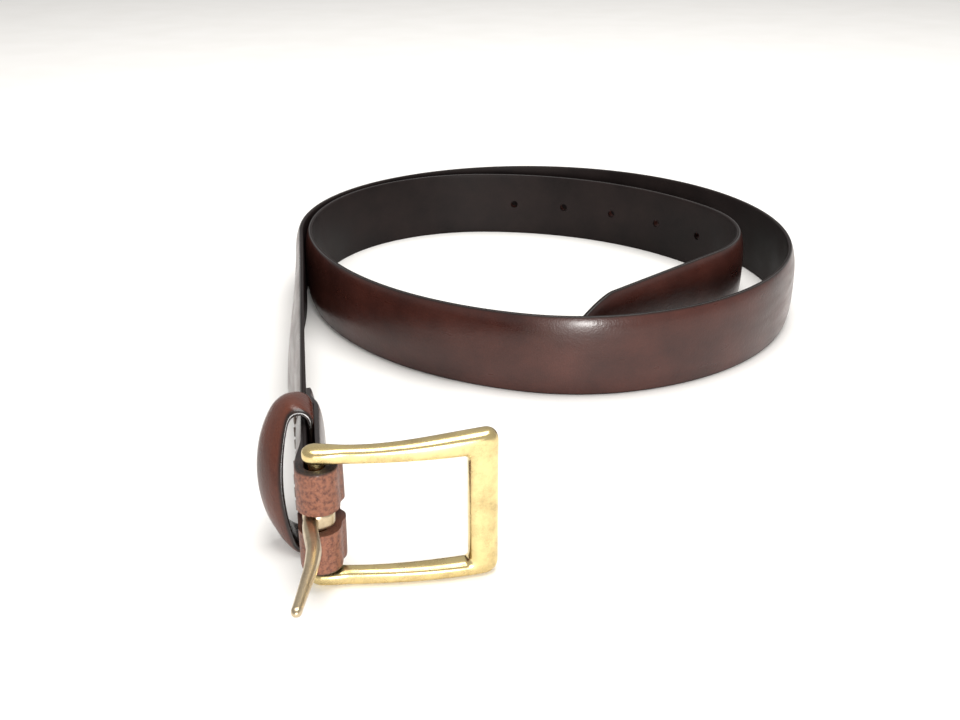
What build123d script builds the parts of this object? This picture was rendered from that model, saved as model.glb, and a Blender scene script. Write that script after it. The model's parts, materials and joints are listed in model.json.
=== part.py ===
from build123d import *
import os
from math import cos, degrees, radians, sin

# A dress belt standing on its edge, coiled about one and two thirds turns.
# Millimetres, +Z up.  The origin is on the table, under the middle of the
# whole belt's box; the route below is laid out about the middle of the coil.
# The strap is followed from its buckle end to its tip.  It always turns
# clockwise seen from above, with its grain side outwards.

# ---- strap -------------------------------------------------------------
STRAP_WIDTH = 30.0
EDGE_THICKNESS = 2.6
CROWN_THICKNESS = 3.6          # at mid width, over the filler
LINING_THICKNESS = 1.1
FILLER_CROWN = 1.2
FILLER_MARGIN = 4.5            # from the filler to each long edge of the strap
LAYER_GAP = 0.35               # between touching turns of the coil

# ---- how the coil lies: inner-face radius and turn of each stretch -------
BAR_X = -68.4                  # the buckle bar's axis
BAR_Y = -208.6
LEAD_HEADING = 98.6            # degrees from +X
LEAD_LENGTH = 214.9
OUTER_LEFT = (91.1, 56.7)
OUTER_BACK = (105.5, 70.5)
RIGHT_SIDE = (105.5, 70.5)
FRONT_RIGHT = (104.0, 66.0)    # the front closes in by its crown, so its radii are to the crown
FRONT_LEFT_TIGHT = (80.0, 30.4)
FRONT_LEFT_EASY = (124.3, 30.3)
LEFT_SIDE_EASY_SPAN = 30.3
LEFT_SIDE_NESTED_SPAN = 35.4   # its radius is worked out from the turn outside it
INNER_TURN_TIGHTER = 17.6      # how much less than the outer turn's radius
INNER_TURN_SPAN = 68.7
INNER_BACK = (118.6, 59.3)
CURL_RADIUS = 49.5
CURL_START_SPAN = 12.0         # the part of the curl that is on the punched stretch
CURL_SPAN = 64.4
TIP_LENGTH = 92.9
TIP_TAPER = 27.0
TIP_END_RADIUS = 7.0

# ---- punched holes -------------------------------------------------------
HOLE_COUNT = 5
HOLE_PITCH = 25.4
HOLE_DIAMETER = 3.6
LAST_HOLE_FROM_CURL = 5.7      # before the curl begins

# ---- buckle --------------------------------------------------------------
BAR_RADIUS = 2.0
TURNING_CLEARANCE = 0.07       # leather or prong ring round the bar
FRAME_REACH = 46.8             # bar axis to the frame's outer end
FRAME_SIDE_PLAY = 1.0          # strap edge to each arm
ARM_HEIGHT = 4.3
ARM_THICKNESS = 5.0
FRONT_BAR_WIDTH = 8.2
FRAME_ARCH_RADIUS = 125.0
BOSS_WALL = 1.5                # casting round the bar's seats
FRAME_EDGE_ROUND = 1.5
OPENING_CORNER = 1.6
OUTER_CORNER = 3.2
BAR_SEAT_DEPTH = 3.2           # the bar's ends in the arms
FRAME_SWING = 89.6             # from lying in line with the strap
PRONG_SWING = -97.7            # from the frame's direction

PRONG_REACH = 42.0
PRONG_HEIGHT = 4.4
PRONG_THICKNESS = 4.0
PRONG_TIP_HEIGHT = 2.4
PRONG_TIP_THICKNESS = 2.2
PRONG_RING_WALL = 2.2
PRONG_HUMP = 1.7               # how far its root stands off the ring's middle
PRONG_WAIST = -0.6             # the same where its long S comes nearest
PRONG_END_OFFSET = 0.2
SLOT_PLAY = 0.8                # fold slot over and under the prong
SLOT_RUN = 2.4                 # slot past the prong's hump, along the strap

# ---- turned-back end, keeper, stitches ------------------------------------
FLAP_LENGTH = 46.0
FLAP_THICKNESS = 2.4
FLAP_CLOSE_AT = 9.0            # where the flap meets the keeper's ends
FLAP_LAND_AFTER = 7.0          # past the keeper, where it lies on the lining
FLAP_CLOSE_PAST_KEEPER = 1.0
LEVEL_PAST_FLAP = 6.0          # the lead stays level this far past the flap
KEEPER_FROM_BAR = 11.5
KEEPER_WIDTH = 10.5
KEEPER_THICKNESS = 2.0
KEEPER_ROOM = 6.3              # for the strap's other end
KEEPER_SQUARE = 4.6            # how far its square side reaches round the strap
KEEPER_CORNER = 1.2
KEEPER_LEAN = 12.0             # its top stands this far along the strap from its foot
KEEPER_EDGE_ROOM = 2.4         # over and under the strap
STAPLE_LEG = 3.2
STAPLE_WIRE = 0.7
STITCH_COUNT = 6
STITCH_LENGTH = 2.8
STITCH_PITCH = 4.0
STITCH_THREAD = 0.7
STITCH_TO_KEEPER = 2.2
BURIED = 0.15                  # how deep thread and wire press into leather

FOLD_INNER = BAR_RADIUS + TURNING_CLEARANCE
FOLD_OUTER = FOLD_INNER + CROWN_THICKNESS
FRAME_GAP = STRAP_WIDTH + 2 * FRAME_SIDE_PLAY
FRAME_HEIGHT = FRAME_GAP + 2 * ARM_HEIGHT
BUCKLE_LIFT = (FRAME_HEIGHT - STRAP_WIDTH) / 2
MID_BUCKLE = FRAME_HEIGHT / 2
LEVEL_LENGTH = FLAP_LENGTH + LEVEL_PAST_FLAP
BAR_LENGTH = FRAME_GAP + 2 * BAR_SEAT_DEPTH
PRONG_RING_RADIUS = FOLD_INNER + PRONG_RING_WALL
KEEPER_HEIGHT = STRAP_WIDTH + 2 * (KEEPER_EDGE_ROOM + KEEPER_THICKNESS)
KEEPER_END = KEEPER_FROM_BAR + KEEPER_LEAN + KEEPER_WIDTH


def unit(heading):
    """Level direction at a heading in degrees."""
    return Vector(cos(radians(heading)), sin(radians(heading)), 0)


def outward(heading):
    """Level direction to the strap's grain side, left of its heading."""
    return Vector(-sin(radians(heading)), cos(radians(heading)), 0)


class Course:
    """The strap's inner face in plan: a place, a heading, and moves along it."""

    def __init__(self, place, heading):
        self.place = place
        self.heading = heading

    def centre(self, radius):
        return self.place - outward(self.heading) * radius

    def forward(self, length):
        self.place = self.place + unit(self.heading) * length

    def turn(self, radius, angle):
        middle = self.centre(radius)
        self.heading -= angle
        self.place = middle + outward(self.heading) * radius


def frame_at(place, heading):
    """Plane across the strap: x to the grain side, y up, looking along it."""
    return Plane(origin=place, x_dir=outward(heading), z_dir=unit(heading))


# ---- the strap's section: lining, filler and grain leather ----------------
def lining_section():
    return Pos(LINING_THICKNESS / 2, STRAP_WIDTH / 2) * Rectangle(LINING_THICKNESS, STRAP_WIDTH)


def lens(base, edge, crown, margin):
    """A flat-backed strip with a crowned face."""
    low = margin
    high = STRAP_WIDTH - margin
    edges = [
        Polyline((edge, low), (base, low), (base, high), (edge, high)),
        ThreePointArc((edge, low), (crown, STRAP_WIDTH / 2), (edge, high)),
    ]
    return make_face(edges)


def filler_section():
    thin = LINING_THICKNESS + FILLER_CROWN / 4
    return lens(LINING_THICKNESS, thin, LINING_THICKNESS + FILLER_CROWN, FILLER_MARGIN)


def grain_section():
    return lens(LINING_THICKNESS, EDGE_THICKNESS, CROWN_THICKNESS, 0) - filler_section()


SECTIONS = {"grain": grain_section, "filler": filler_section, "lining": lining_section}


def carry_turn(section, course, radius, angle):
    """A section carried round one arc of the coil."""
    face = frame_at(course.place, course.heading) * section
    return revolve(face, Axis(course.centre(radius), (0, 0, 1)), -angle)


def carry_line(section, place, heading, length, rise=0.0):
    """A section carried along a straight stretch that may climb."""
    face = frame_at(place, heading) * section
    along = unit(heading) * length + Vector(0, 0, rise)
    return extrude(face, amount=along.length, dir=along)


# ---- the route -------------------------------------------------------------
def nest_inside(course, middle, reach):
    """Radius that makes the course's next arc touch a circle from inside."""
    apart = course.place - middle
    right = outward(course.heading) * -1
    return (reach**2 - apart.dot(apart)) / (2 * (apart.dot(right) + reach))


def under_crown(radius, angle):
    """A bend given by its crown, as the bend of the strap's inner face."""
    return radius - CROWN_THICKNESS, angle


def plan_route():
    """Name, start and bends of each stretch of strap that flexes as one."""
    stretches = []
    course = Course(Vector(BAR_X, BAR_Y, 0) + outward(LEAD_HEADING) * FOLD_INNER, LEAD_HEADING)

    def stretch(name, bends):
        stretches.append((name, course.place, course.heading, bends))
        for radius, angle in bends:
            course.turn(radius, angle)

    course.forward(LEAD_LENGTH)
    outer_middle = course.centre(OUTER_LEFT[0])
    outer_reach = OUTER_LEFT[0] - CROWN_THICKNESS - LAYER_GAP
    stretch("outer_left", [OUTER_LEFT])
    stretch("outer_back", [OUTER_BACK])
    stretch("right_side", [RIGHT_SIDE])
    stretch("front_right", [under_crown(*FRONT_RIGHT)])
    stretch("front_left", [under_crown(*FRONT_LEFT_TIGHT), under_crown(*FRONT_LEFT_EASY)])
    easy = under_crown(FRONT_LEFT_EASY[0], LEFT_SIDE_EASY_SPAN)
    before_nest = Course(course.place, course.heading)
    before_nest.turn(*easy)
    nested = (nest_inside(before_nest, outer_middle, outer_reach), LEFT_SIDE_NESTED_SPAN)
    stretch("left_side", [easy, nested])
    stretch("inner_turn", [(OUTER_LEFT[0] - INNER_TURN_TIGHTER, INNER_TURN_SPAN)])
    stretch("punched", [INNER_BACK, (CURL_RADIUS, CURL_START_SPAN)])
    stretch("curl", [(CURL_RADIUS, CURL_SPAN)])
    return stretches, course.place, course.heading


def make_stretch(section, place, heading, bends):
    """One layer of one curved stretch."""
    course = Course(place, heading)
    solid = None
    for radius, angle in bends:
        bend = carry_turn(section, course, radius, angle)
        solid = bend if solid is None else solid + bend
        course.turn(radius, angle)
    return solid


def hole_pins(place, heading):
    """Cylinders through the strap at the punched holes."""
    radius, span = INNER_BACK
    course = Course(place, heading)
    middle = course.centre(radius)
    pins = []
    for index in range(HOLE_COUNT):
        back = LAST_HOLE_FROM_CURL + index * HOLE_PITCH
        at = heading - span + degrees(back / radius)
        foot = middle + outward(at) * (radius - CROWN_THICKNESS) + Vector(0, 0, STRAP_WIDTH / 2)
        along = Plane(origin=foot, z_dir=outward(at))
        pins.append(along * extrude(Circle(HOLE_DIAMETER / 2), 3 * CROWN_THICKNESS))
    return pins


# ---- straight ends -----------------------------------------------------------
def tip_outline(place, heading):
    """Block that leaves the strap's tapered, rounded tip."""
    half = STRAP_WIDTH / 2
    shoulder = TIP_LENGTH - TIP_TAPER
    nose = TIP_LENGTH - TIP_END_RADIUS
    reach = TIP_LENGTH - nose
    lift = TIP_END_RADIUS * 0.8
    edges = [
        Polyline((0, half), (0, -half), (shoulder, -half)),
        ThreePointArc((shoulder, -half), ((shoulder + nose) / 2, -half * 0.83), (nose, -lift)),
        ThreePointArc((nose, -lift), (nose + reach, 0), (nose, lift)),
        ThreePointArc((nose, lift), ((shoulder + nose) / 2, half * 0.83), (shoulder, half)),
        Line((shoulder, half), (0, half)),
    ]
    start = place + Vector(0, 0, half) - outward(heading) * CROWN_THICKNESS
    face = Plane(origin=start, x_dir=unit(heading), z_dir=outward(heading) * -1)
    return extrude(face * make_face(edges), amount=-3 * CROWN_THICKNESS)


def lead_layer(section):
    """The lead: round the bar, level beside it, then down a ramp to the table."""
    start = Vector(BAR_X, BAR_Y, BUCKLE_LIFT) + outward(LEAD_HEADING) * FOLD_INNER
    level_end = start + unit(LEAD_HEADING) * LEVEL_LENGTH
    ramp = LEAD_LENGTH - LEVEL_LENGTH
    level = carry_line(section, start, LEAD_HEADING, LEVEL_LENGTH)
    slope = carry_line(section, level_end, LEAD_HEADING, ramp, -BUCKLE_LIFT)
    fold = buckle_end() * half_round_bar(section)
    return level + slope + fold - buckle_end() * prong_slot()


def buckle_end():
    """Placement at the bar axis: x along the lead, y to the grain side, z up."""
    return Location(Plane(origin=(BAR_X, BAR_Y, 0), x_dir=unit(LEAD_HEADING), z_dir=(0, 0, 1)))


def prong_slot():
    """Room for the prong's ring and hump, cut in the fold, the lead and the flap."""
    reach = PRONG_HUMP + PRONG_THICKNESS / 2 + SLOT_RUN
    height = PRONG_HEIGHT + 2 * SLOT_PLAY
    length = reach + FOLD_OUTER + 1
    middle = (reach - FOLD_OUTER - 1) / 2
    return Pos(middle, 0, MID_BUCKLE) * Box(length, 3 * FOLD_OUTER, height)


def half_round_bar(section):
    """A layer of the strap taken half way round the bar."""
    start = Plane(origin=(0, FOLD_INNER, BUCKLE_LIFT), x_dir=(0, 1, 0), z_dir=(1, 0, 0))
    return revolve(start * section, Axis.Z, 180)


def flap():
    """The turned-back end: it closes on the keeper's ends, then on the lining."""
    land = KEEPER_END + FLAP_LAND_AFTER
    inner = [
        (0, -FOLD_INNER),
        (FOLD_INNER / 2, -FOLD_INNER),
        (FLAP_CLOSE_AT, FOLD_INNER - KEEPER_THICKNESS),
        (KEEPER_END + FLAP_CLOSE_PAST_KEEPER, FOLD_INNER - KEEPER_THICKNESS),
        (land, FOLD_INNER),
        (FLAP_LENGTH, FOLD_INNER),
    ]
    outer = [(x, y - FLAP_THICKNESS) for x, y in reversed(inner)]
    outer[-1] = (0, -FOLD_INNER - EDGE_THICKNESS)
    outline = make_face(Polyline(*inner, *outer, close=True))
    block = Pos(0, 0, BUCKLE_LIFT) * extrude(outline, STRAP_WIDTH)
    return block - prong_slot()


# ---- keeper --------------------------------------------------------------------
def keeper_side(grow):
    """The keeper's hollow, or with its thickness as grow, its outside."""
    half = KEEPER_HEIGHT / 2 - KEEPER_THICKNESS + grow
    far = CROWN_THICKNESS + KEEPER_ROOM - KEEPER_SQUARE + grow
    square = Pos((KEEPER_SQUARE - grow) / 2, 0) * Rectangle(KEEPER_SQUARE + grow, 2 * half)
    square = fillet(square.vertices().sort_by(Axis.X)[:2], KEEPER_CORNER + grow)
    beyond = Pos(far / 2, 0) * Rectangle(far, 2 * half)
    oval = Ellipse(far, half) & beyond
    return Pos(FOLD_INNER, MID_BUCKLE) * (square + Pos(KEEPER_SQUARE, 0) * oval)


def keeper():
    """A leaning loop whose ends meet between the strap and its turned-back end."""
    ring = keeper_side(KEEPER_THICKNESS) - keeper_side(0)
    face = Plane(origin=(KEEPER_FROM_BAR, 0, 0), x_dir=(0, 1, 0), z_dir=(1, 0, 0))
    sleeve = extrude(face * ring, KEEPER_LEAN + KEEPER_WIDTH)
    foot = MID_BUCKLE - KEEPER_HEIGHT / 2
    top = MID_BUCKLE + KEEPER_HEIGHT / 2
    slant = [
        (KEEPER_FROM_BAR, foot),
        (KEEPER_FROM_BAR + KEEPER_WIDTH, foot),
        (KEEPER_END, top),
        (KEEPER_END - KEEPER_WIDTH, top),
    ]
    side = Plane(origin=(0, -KEEPER_WIDTH, 0), x_dir=(1, 0, 0), z_dir=(0, -1, 0))
    slab = side * make_face(Polyline(*slant, close=True))
    return (sleeve & extrude(slab, amount=-4 * KEEPER_WIDTH)) - keeper_staple()


def keeper_staple():
    """The wire that joins the keeper's two ends, closed against the lining."""
    middle = (KEEPER_FROM_BAR + KEEPER_END) / 2
    face = FOLD_INNER - KEEPER_THICKNESS
    wire = Box(STAPLE_WIRE, STAPLE_WIRE, 2 * STAPLE_LEG)
    return Pos(middle, face + STAPLE_WIRE / 2, MID_BUCKLE) * wire


def keeper_and_flap_stitches():
    """Thread on the grain face: one upright row each side of the keeper."""
    rows = (
        KEEPER_FROM_BAR - STITCH_TO_KEEPER,
        KEEPER_END + STITCH_TO_KEEPER,
    )
    span = (STITCH_COUNT - 1) * STITCH_PITCH
    stitches = []
    for row in rows:
        for index in range(STITCH_COUNT):
            up = index * STITCH_PITCH - span / 2
            face = FOLD_INNER + crown_at(up - STITCH_LENGTH / 2)
            thread = Cylinder(STITCH_THREAD / 2, STITCH_LENGTH)
            stitches.append(Pos(row, face + STITCH_THREAD / 2 - BURIED, MID_BUCKLE + up) * thread)
    return Compound(children=stitches)


def crown_at(up):
    """Strap thickness at a height from mid width, on the crown's arc."""
    half = STRAP_WIDTH / 2
    rise = CROWN_THICKNESS - EDGE_THICKNESS
    radius = (half**2 + rise**2) / (2 * rise)
    return CROWN_THICKNESS - radius + (radius**2 - up**2) ** 0.5


# ---- buckle ------------------------------------------------------------------
def arched_strip(thickness):
    """Plan of the frame: a strip that bulges to its face, the -Y side."""
    half = FRAME_REACH / 2
    middle = Vector(half, (FRAME_ARCH_RADIUS**2 - half**2) ** 0.5)
    inner = FRAME_ARCH_RADIUS - thickness / 2
    outer = FRAME_ARCH_RADIUS + thickness / 2
    ring = Circle(outer) - Circle(inner)
    window = Pos(half, 0) * Rectangle(FRAME_REACH, FRAME_ARCH_RADIUS)
    return (Pos(middle.X, middle.Y) * ring) & window


def buckle_frame():
    """Two arms and a front bar in one casting, with seats for the heel bar."""
    boss = Circle(BAR_RADIUS + BOSS_WALL)
    plan = arched_strip(ARM_THICKNESS) + boss
    body = extrude(plan, FRAME_HEIGHT)
    inside = FRAME_REACH - FRONT_BAR_WIDTH
    behind = 2 * FRAME_REACH
    outline = Rectangle(FRAME_REACH + behind, FRAME_HEIGHT)
    outline = Pos((FRAME_REACH - behind) / 2, 0) * outline
    outline = fillet(outline.vertices().sort_by(Axis.X)[-2:], OUTER_CORNER)
    opening = Rectangle(inside + behind, FRAME_GAP)
    opening = Pos((inside - behind) / 2, 0) * opening
    opening = fillet(opening.vertices().sort_by(Axis.X)[-2:], OPENING_CORNER)
    side = Plane(origin=(0, FRAME_REACH / 2, MID_BUCKLE), x_dir=(1, 0, 0), z_dir=(0, -1, 0))
    body = body & extrude(side * (outline - opening), FRAME_REACH)
    body = body - Pos(0, 0, MID_BUCKLE) * Cylinder(BAR_RADIUS, BAR_LENGTH)
    return round_face_edges(body)


def round_face_edges(body):
    """Soften every long edge of the arms and the front bar."""
    long_edges = [
        edge for edge in body.edges()
        if edge.length > FRAME_GAP / 2 and edge.center().X > FRAME_REACH / 4
    ]
    return fillet(long_edges, FRAME_EDGE_ROUND)


def heel_bar():
    return Pos(0, 0, MID_BUCKLE) * Cylinder(BAR_RADIUS, BAR_LENGTH)


def prong():
    """A ring that turns on the bar and a tapered shaft with a long, shallow S."""
    ring = Circle(PRONG_RING_RADIUS)
    stations = [
        (0, PRONG_RING_RADIUS - PRONG_THICKNESS / 2, PRONG_THICKNESS),
        (PRONG_REACH * 0.12, PRONG_HUMP, PRONG_THICKNESS),
        (PRONG_REACH * 0.45, PRONG_WAIST, PRONG_THICKNESS * 0.9),
        (PRONG_REACH * 0.75, PRONG_WAIST + 0.2, PRONG_THICKNESS * 0.82),
        (PRONG_REACH, PRONG_END_OFFSET, PRONG_TIP_THICKNESS),
    ]
    near = [(x, -offset_y + thick / 2) for x, offset_y, thick in stations]
    far = [(x, -offset_y - thick / 2) for x, offset_y, thick in stations]
    shaft = make_face([Spline(*near), Line(near[-1], far[-1]), Spline(*far[::-1]), Line(far[0], near[0])])
    plan = ring + shaft
    body = extrude(plan, PRONG_HEIGHT)
    half = PRONG_HEIGHT / 2
    tip = PRONG_TIP_HEIGHT / 2
    taper = Polyline(
        (-PRONG_REACH, -half), (PRONG_REACH / 4, -half), (PRONG_REACH, -tip),
        (PRONG_REACH, tip), (PRONG_REACH / 4, half), (-PRONG_REACH, half), close=True,
    )
    side = Plane(origin=(0, PRONG_REACH / 2, half), x_dir=(1, 0, 0), z_dir=(0, -1, 0))
    body = body & extrude(side * make_face(taper), PRONG_REACH)
    body = body - Cylinder(FOLD_INNER, 4 * PRONG_HEIGHT)
    return Pos(0, 0, MID_BUCKLE - half) * body


# ---- all the pieces ------------------------------------------------------------
def build_parts():
    parts = {}
    stretches, tip_place, tip_heading = plan_route()
    for layer, section in SECTIONS.items():
        parts[f"lead_{layer}"] = lead_layer(section())
        for name, place, heading, bends in stretches:
            solid = make_stretch(section(), place, heading, bends)
            if name == "punched":
                solid = solid - hole_pins(place, heading)
            parts[f"{name}_{layer}"] = solid
        tip = carry_line(section(), tip_place, tip_heading, TIP_LENGTH)
        parts[f"tip_{layer}"] = tip & tip_outline(tip_place, tip_heading)
    at_bar = buckle_end()
    parts["turned_back_end"] = at_bar * flap()
    parts["keeper"] = at_bar * keeper()
    parts["keeper_staple"] = at_bar * keeper_staple()
    parts["stitches"] = at_bar * keeper_and_flap_stitches()
    swung = at_bar * Rot(0, 0, 180 + FRAME_SWING)
    parts["buckle_frame"] = swung * buckle_frame()
    parts["heel_bar"] = swung * heel_bar()
    parts["prong"] = swung * Rot(0, 0, PRONG_SWING) * prong()
    return parts


def flex_lines():
    """Where each stretch flexes against the one before: on the crown's line."""
    stretches, tip_place, tip_heading = plan_route()
    starts = [(name, place, heading) for name, place, heading, _ in stretches]
    starts.append(("tip", tip_place, tip_heading))
    return {name: place + outward(heading) * CROWN_THICKNESS for name, place, heading in starts}


parts = build_parts()
boxes = [part.bounding_box() for part in parts.values()]
middle_x = (min(box.min.X for box in boxes) + max(box.max.X for box in boxes)) / 2
middle_y = (min(box.min.Y for box in boxes) + max(box.max.Y for box in boxes)) / 2
lowest = min(box.min.Z for box in boxes)
to_middle = Vector(-middle_x, -middle_y, -lowest)
os.makedirs("parts", exist_ok=True)
for name, part in parts.items():
    export_step(Pos(to_middle) * part, f"parts/{name}.step")
lines = {"bar": Vector(BAR_X, BAR_Y, 0), **flex_lines()}
for name, line in lines.items():
    at = line + to_middle
    print(f"upright line of {name}: {at.X:.3f} {at.Y:.3f}")
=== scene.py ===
"""A dress belt standing on its edge, coiled one and two thirds turns, with its buckle swung open."""
import json
import logging
from collections.abc import Sequence
from dataclasses import dataclass, field
from enum import Enum
from typing import Any

import bpy
import numpy as np
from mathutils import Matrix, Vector


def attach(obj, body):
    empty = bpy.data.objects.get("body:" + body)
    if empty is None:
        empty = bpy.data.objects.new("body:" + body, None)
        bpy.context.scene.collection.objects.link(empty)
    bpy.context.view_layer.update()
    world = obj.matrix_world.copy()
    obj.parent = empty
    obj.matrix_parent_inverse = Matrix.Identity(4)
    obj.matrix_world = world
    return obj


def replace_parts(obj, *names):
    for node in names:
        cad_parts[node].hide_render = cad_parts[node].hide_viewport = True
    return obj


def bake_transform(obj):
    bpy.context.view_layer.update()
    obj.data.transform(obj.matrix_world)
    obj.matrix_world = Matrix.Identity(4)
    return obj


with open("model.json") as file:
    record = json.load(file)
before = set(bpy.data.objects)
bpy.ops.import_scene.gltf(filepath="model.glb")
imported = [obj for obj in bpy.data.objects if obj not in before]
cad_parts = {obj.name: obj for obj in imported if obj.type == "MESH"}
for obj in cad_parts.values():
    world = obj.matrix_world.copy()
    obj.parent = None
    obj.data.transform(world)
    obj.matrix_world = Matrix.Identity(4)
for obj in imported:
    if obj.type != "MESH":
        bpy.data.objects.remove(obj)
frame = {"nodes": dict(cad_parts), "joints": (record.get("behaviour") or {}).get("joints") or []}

Array = np.ndarray
Triple = tuple[float, float, float]
Socket = bpy.types.NodeSocket
Stops = Sequence[tuple[float, Triple]]
log = logging.getLogger("belt")

MM = 0.001  # every length below is in millimetres, and meshes are made in metres

STRAP_WIDTH = 30.0
BUCKLE_LIFT = 5.3  # the strap's lower edge over the table, beside the buckle
MID_BUCKLE = 20.3
BAR_WRAP_RADIUS = 2.07
LEAD_HEADING = 98.6
LEAD_LENGTH = 214.9
LEVEL_LENGTH = 50.0
FLAP_LENGTH = 46.0
FRAME_HEADING = 8.2
PRONG_HEADING = -89.5
SLOT_HALF_HEIGHT = 3.0
SLOT_REACH = 7.4
TIP_TAPER = 27.0
RING_STEPS = np.array([0.35, 0.8, 1.4, 2.2, 3.2])  # grid lines round a hole, from its edge outwards
GRID_ROOM = 0.4  # even grid lines closer than this to a hole's own are left out


class Layer(Enum):
    """The two skins of the strap that show."""

    GRAIN = "grain"
    LINING = "lining"


# ---- small geometry ------------------------------------------------------------
def smoothstep(values: Array, low: float, high: float) -> Array:
    """0 below low, 1 above high, and 3t^2 - 2t^3 between."""
    t = np.clip((values - low) / (high - low), 0.0, 1.0)
    return t * t * (3.0 - 2.0 * t)


def signed_power(values: Array, exponent: float) -> Array:
    """sign(x) times |x| to the exponent, which squares off a circle."""
    return np.sign(values) * np.abs(values) ** exponent


def headings(angles: Array) -> tuple[Array, Array]:
    """Level unit vectors along each angle in degrees, and to its left."""
    turned = np.radians(angles)
    along = np.stack([np.cos(turned), np.sin(turned)], axis=-1)
    left = np.stack([-np.sin(turned), np.cos(turned)], axis=-1)
    return along, left


def ringed(cuts: Array) -> Array:
    """Grid lines with more beyond each end, closely spaced at first."""
    return np.concatenate([cuts[0] - RING_STEPS[::-1], cuts, cuts[-1] + RING_STEPS])


def put_in(even: Array, cuts: Array, room: float) -> Array:
    """Even grid lines, with a run of others in place of those near it."""
    return np.concatenate([even[even < cuts[0] - room], cuts, even[even > cuts[-1] + room]])


@dataclass(frozen=True)
class Bend:
    """One piece of a course: an arc of that radius and turn, or a straight where the radius is 0."""

    radius: float
    turn: float = 0.0
    straight: float = 0.0

    @property
    def length(self) -> float:
        """Length along the piece."""
        return self.radius * np.radians(self.turn) + self.straight


class Course:
    """A plane curve made of arcs that turn clockwise and of straights."""

    def __init__(
        self, place: Sequence[float], heading: float, bends: Sequence[Bend], first: float = 0.0
    ) -> None:
        """Lays the pieces end to end.

        Args:
            place: where the course starts.
            heading: its heading there, in degrees.
            bends: the pieces in order.
            first: the distance that the start counts as.
        """
        self.knots = [first]
        self.places = [np.array(place, float)]
        self.heads = [heading]
        self.curves = []
        for bend in bends:
            curve = 1.0 / bend.radius if bend.radius else 0.0
            self.curves.append(curve)
            spot, turned = self._walk(
                self.places[-1], np.array(self.heads[-1]), np.array(curve), np.array(bend.length)
            )
            self.places.append(spot)
            self.heads.append(float(turned))
            self.knots.append(self.knots[-1] + bend.length)

    @staticmethod
    def _walk(place: Array, heading: Array, curve: Array, length: Array) -> tuple[Array, Array]:
        """The place and heading after a length: the chord is length times sinc of half the turn."""
        turn = curve * length
        along, _ = headings(heading - np.degrees(turn) / 2)
        chord = length * np.sinc(turn / (2 * np.pi))
        return place + along * chord[..., None], heading - np.degrees(turn)

    def at(self, distance: Array) -> tuple[Array, Array]:
        """Follows the course.

        Args:
            distance: any array of distances along it.
        Returns:
            The places, with a last axis of 2, and the headings in degrees.
        """
        piece = np.clip(np.searchsorted(self.knots, distance, side="right") - 1, 0, len(self.curves) - 1)
        start = np.array(self.knots)[piece]
        return self._walk(
            np.array(self.places)[piece],
            np.array(self.heads)[piece],
            np.array(self.curves)[piece],
            distance - start,
        )


@dataclass
class Shell:
    """Vertices, quads and what is known at each vertex, before they become a mesh."""

    points: Array
    quads: Array
    normals: Array | None = None
    uv: Array | None = None
    tags: dict[str, Array] = field(default_factory=dict)
    flat_from: int | None = None

    def mesh(self, name: str) -> bpy.types.Object:
        """Makes the object.

        Args:
            name: the object's name.
        Returns:
            A smooth mesh object in metres. Corners take the shell's normals; quads from flat_from on
            keep their own.
        """
        mesh = bpy.data.meshes.new(name)
        mesh.from_pydata((self.points * MM).tolist(), [], self.quads.tolist())
        mesh.shade_smooth()
        if self.uv is not None:
            layer = mesh.uv_layers.new(name="strap")
            layer.data.foreach_set("uv", self.uv[self.quads.ravel()].astype(np.float32).ravel())
        for tag, values in self.tags.items():
            attribute = mesh.attributes.new(tag, "FLOAT", "POINT")
            attribute.data.foreach_set("value", values.astype(np.float32))
        if self.normals is not None:
            corners = self.normals[self.quads]
            if self.flat_from is not None:
                ends = self.points[self.quads[self.flat_from:]]
                across = np.cross(ends[:, 2] - ends[:, 0], ends[:, 3] - ends[:, 1])
                across /= np.maximum(np.linalg.norm(across, axis=-1, keepdims=True), 1e-9)
                corners[self.flat_from:] = across[:, None, :]
            mesh.normals_split_custom_set(corners.reshape(-1, 3).tolist())
        piece = bpy.data.objects.new(name, mesh)
        bpy.context.scene.collection.objects.link(piece)
        log.info("%s: %d vertices, %d faces", name, len(self.points), len(self.quads))
        return piece


def grid_quads(rows: int, columns: int, close_rows: bool, close_columns: bool) -> Array:
    """Quads of a grid of vertices, wrapped where asked.

    Args:
        rows: vertices along the first axis.
        columns: vertices along the second axis.
        close_rows: whether the last row meets the first.
        close_columns: whether the last column meets the first.
    Returns:
        An array of four vertex numbers per quad, row by row.
    """
    i = np.arange(rows if close_rows else rows - 1)[:, None]
    j = np.arange(columns if close_columns else columns - 1)[None, :]
    i2 = (i + 1) % rows
    j2 = (j + 1) % columns
    corners = np.broadcast_arrays(i * columns + j, i2 * columns + j, i2 * columns + j2, i * columns + j2)
    return np.stack(corners, axis=-1).reshape(-1, 4)


def tube(rings: Array, closed: bool) -> Shell:
    """A skin over rings of points.

    Args:
        rings: stations by points round each ring by 3.
        closed: whether the last ring meets the first; if not, each end is drawn in to one small fan.
    Returns:
        A closed shell.
    """
    stations, around = rings.shape[:2]
    quads = grid_quads(stations, around, closed, True)
    if not closed:
        half = around // 2
        j = np.arange(half - 1)
        near = np.stack([j, j + 1, around - 2 - j, around - 1 - j], axis=-1)
        far = near[:, ::-1] + (stations - 1) * around
        quads = np.vstack([quads, near, far])
    return Shell(rings.reshape(-1, 3), quads)


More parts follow.
